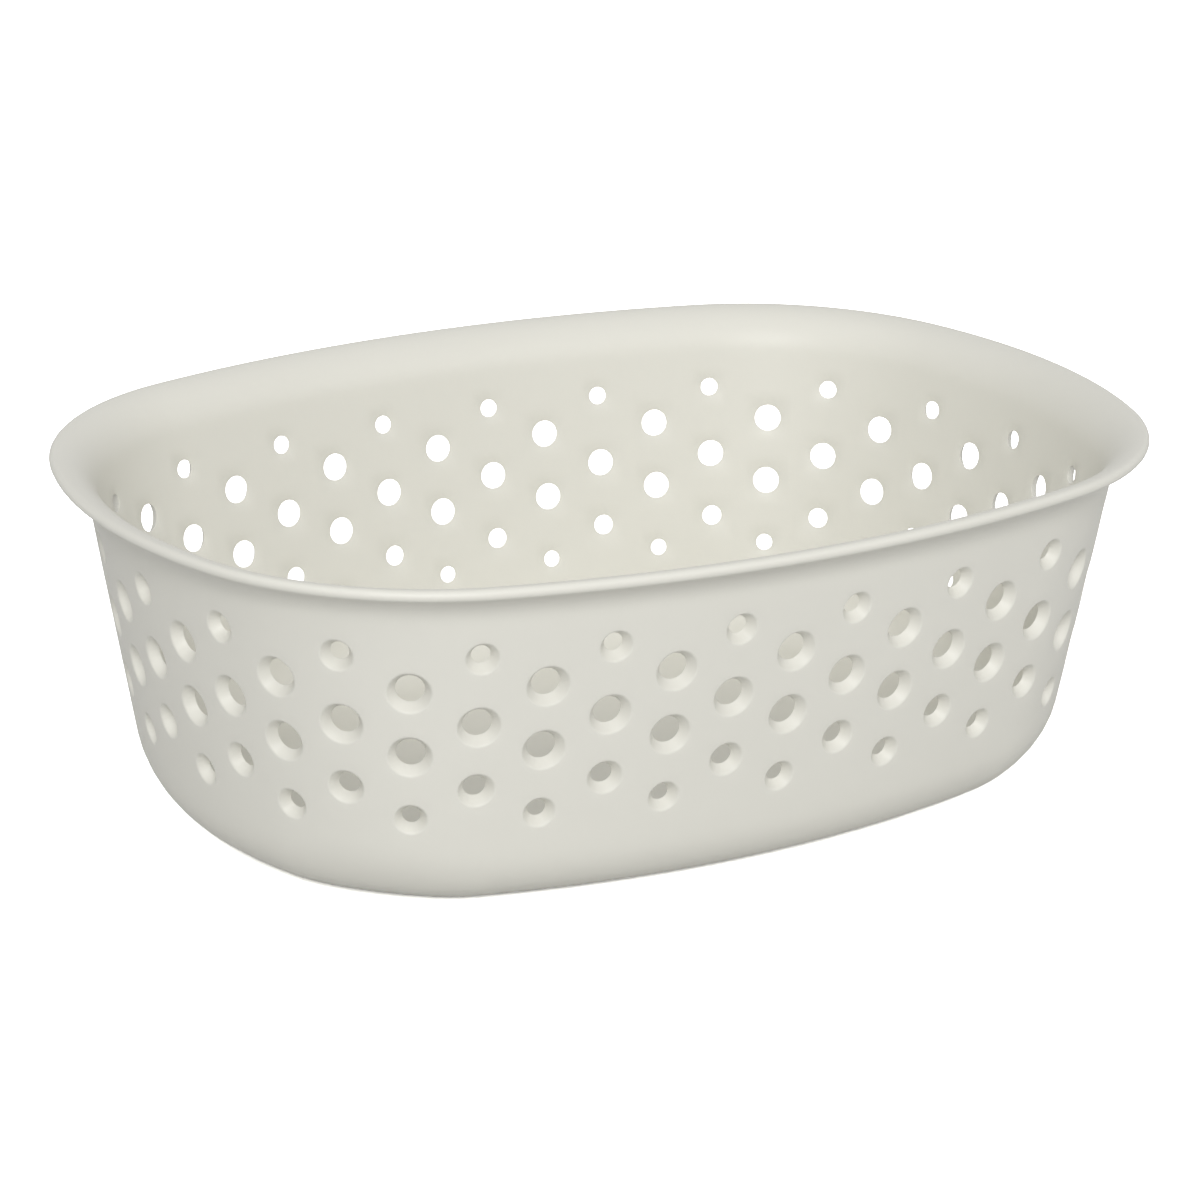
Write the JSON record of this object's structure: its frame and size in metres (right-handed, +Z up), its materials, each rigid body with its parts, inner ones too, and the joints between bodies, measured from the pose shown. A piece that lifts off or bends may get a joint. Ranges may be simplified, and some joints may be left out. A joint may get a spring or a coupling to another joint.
{
  "type": "storage basket",
  "caption": "Open oval storage basket with a flat floor, leaning perforated walls and a flared rim that ends in a rounded lip.",
  "frame": {"origin": "middle of the flat underside, on the surface that the basket stands on", "axes": "+X along the basket's length, +Y across its width, +Z up to the open top"},
  "size_m": [0.3046, 0.2248, 0.099],
  "materials": {
    "plastic": "satin off-white moulded polypropylene"
  },
  "bodies": {
    "root": {"rim": "plastic", "wall": "plastic", "base_edge": "plastic", "floor": "plastic"}
  },
  "joints": []
}
